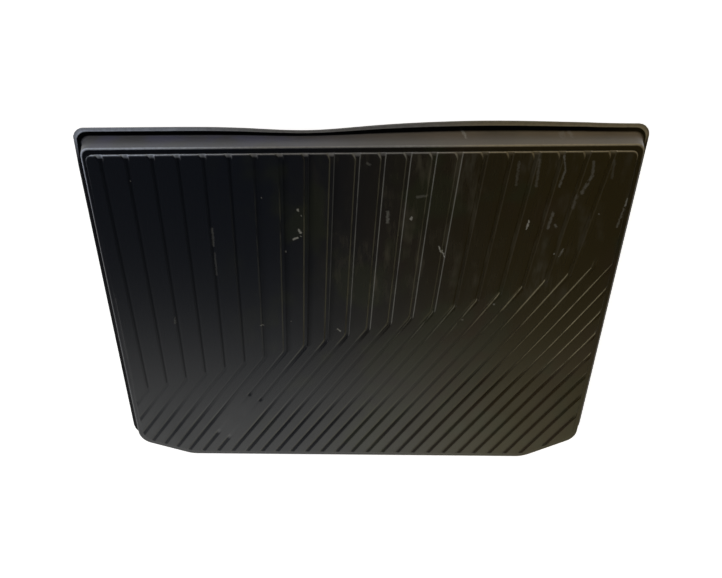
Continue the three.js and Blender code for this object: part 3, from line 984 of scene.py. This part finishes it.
def studio_world(stage):
    """World bright low down at the front, back and left, and dark overhead and at the right."""
    world = bpy.data.worlds.new("studio")
    bpy.context.scene.world = world
    nodes = Nodes(world)
    place = nodes.add("ShaderNodeTexCoord", out="Generated")
    x = nodes.parts(place)[0]
    upright = nodes.vector("MULTIPLY", place, (0.0, 1.0, 1.0))
    climb = nodes.parts(nodes.vector("NORMALIZE", upright))[2]
    low = nodes.mix(x.step(0.10, 0.40), stage.sky_low, stage.sky_low_right)
    warm = nodes.mix(x.step(-0.10, 0.34), (1.0, 1.0, 1.0), stage.sky_warmth)
    low = nodes.vector("MULTIPLY", low, warm)
    sky = nodes.mix(climb.step(0.67, 0.865), low, stage.sky_high)
    sky = nodes.mix(x.step(-0.55, -0.85), sky, stage.sky_left)
    sky = nodes.mix(x.step(0.45, 0.80), sky, stage.sky_right)
    seen = nodes.add("ShaderNodeLightPath", out="Is Camera Ray")
    sky = nodes.mix(seen, sky, (1.0, 1.0, 1.0))
    back = nodes.add("ShaderNodeBackground", None, {"Color": sky, "Strength": 1.0})
    nodes.add("ShaderNodeOutputWorld", None, {"Surface": back})


def add_camera():
    """Camera of the photograph: a 30 mm lens above the seat side, looking down at the liner."""
    tilt, yaw, roll = (math.radians(v) for v in (30.688, -0.324, -0.536))
    base = np.array([[1, 0, 0], [0, -math.cos(tilt), math.sin(tilt)],
                     [0, -math.sin(tilt), -math.cos(tilt)]])
    turn = np.array([[math.cos(yaw), 0, math.sin(yaw)], [0, 1, 0],
                     [-math.sin(yaw), 0, math.cos(yaw)]])
    spin = np.array([[math.cos(roll), -math.sin(roll), 0],
                     [math.sin(roll), math.cos(roll), 0], [0, 0, 1]])
    right, down, forward = spin @ turn @ base
    data = bpy.data.cameras.new("camera")
    data.sensor_fit = "HORIZONTAL"
    data.sensor_width = 36.0
    data.lens = 29.917
    camera = bpy.data.objects.new("camera", data)
    axes = Matrix(np.stack([right, -down, -forward], axis=1).tolist())
    camera.matrix_world = Matrix.Translation((0.00303, 0.70896, 1.08856)) @ axes.to_4x4()
    bpy.context.scene.collection.objects.link(camera)
    bpy.context.scene.camera = camera


class BOOTLINER_OT_tray(Operator):
    """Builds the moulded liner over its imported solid"""

    bl_idname = "boot_liner.tray"
    bl_label = "Moulded liner"

    def execute(self, context):
        scene = context.scene
        points, quads, marks = liner_surface(
            scene.liner_plan, scene.liner_section, scene.liner_grooves)
        piece = new_piece("liner_skin", points, quads, rubber(scene.liner_look))
        for name, values in zip(MARKS, marks.T):
            add_attribute(piece, name, values)
        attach(piece, "root")
        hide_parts("boot_liner")
        return {"FINISHED"}


class BOOTLINER_OT_stage(Operator):
    """Builds the floor, the light and the camera"""

    bl_idname = "boot_liner.stage"
    bl_label = "Floor, light and camera"

    def execute(self, context):
        stage = context.scene.liner_stage
        corners = 6.0 * np.array([(-1, -1, 0), (1, -1, 0), (1, 1, 0), (-1, 1, 0)])
        floor = new_piece("floor", corners, np.array([[0, 1, 2, 3]]), floor_finish(stage))
        studio_world(stage)
        add_camera()
        settings = context.scene.view_settings
        settings.view_transform = "Standard"
        return {"FINISHED"}


class BOOTLINER_PT_sidebar(Panel):
    bl_label = "Boot liner"
    bl_idname = "BOOTLINER_PT_sidebar"
    bl_space_type = "VIEW_3D"
    bl_region_type = "UI"
    bl_category = "Boot liner"

    def draw(self, context):
        for operator in OPERATORS:
            self.layout.operator(operator.bl_idname)
        for owner in GROUPS:
            group = getattr(context.scene, owner)
            for name in group.__annotations__:
                self.layout.prop(group, name)


OPERATORS = (BOOTLINER_OT_stage, BOOTLINER_OT_tray)
GROUPS = {"liner_plan": LinerPlanSizes, "liner_section": LinerSectionSizes,
          "liner_grooves": LinerGrooveSizes, "liner_look": LinerLook, "liner_stage": LinerStage}


def register():
    for owner, group in GROUPS.items():
        bpy.utils.register_class(group)
        setattr(bpy.types.Scene, owner, PointerProperty(type=group))
    for item in (*OPERATORS, BOOTLINER_PT_sidebar):
        bpy.utils.register_class(item)


def unregister():
    for item in (BOOTLINER_PT_sidebar, *reversed(OPERATORS)):
        bpy.utils.unregister_class(item)
    for owner, group in reversed(GROUPS.items()):
        delattr(bpy.types.Scene, owner)
        bpy.utils.unregister_class(group)


def main():
    register()
    bpy.ops.boot_liner.stage()
    bpy.ops.boot_liner.tray()


if __name__ == "__main__":
    main()
